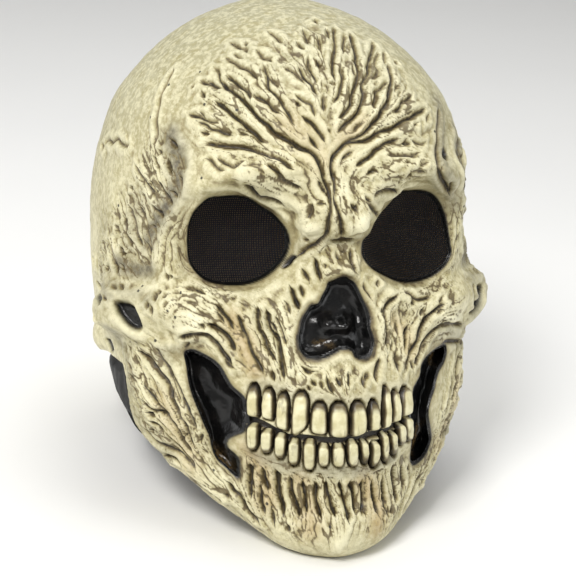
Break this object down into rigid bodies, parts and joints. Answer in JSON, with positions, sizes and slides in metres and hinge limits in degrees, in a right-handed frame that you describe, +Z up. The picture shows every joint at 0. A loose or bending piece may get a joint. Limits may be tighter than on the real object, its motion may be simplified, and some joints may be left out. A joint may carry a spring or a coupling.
{
  "type": "skull mask",
  "caption": "Full-head skull mask of thin hollow latex with screened eyes, a nose cavity, two bare rows of teeth and a black neck.",
  "frame": {"origin": "on the floor under the middle of the mask's footprint, as it rests on its chin and the hem of its neck", "axes": "+Z up, -Y out of the face, +X towards the wearer's left"},
  "size_m": [0.2158, 0.2722, 0.2564],
  "materials": {
    "bone_latex": "matt painted latex",
    "black_latex": "glossy painted latex",
    "screen_cloth": "fine woven mesh",
    "tooth_latex": "satin painted latex"
  },
  "bodies": {
    "root": {"skull_skin": "bone_latex", "neck": "black_latex", "eye_screen_left": "screen_cloth", "eye_screen_right": "screen_cloth", "cheek_lining_left": "black_latex", "cheek_lining_right": "black_latex", "nose_lining": "black_latex", "upper_teeth": "tooth_latex", "lower_teeth": "tooth_latex"}
  },
  "joints": []
}
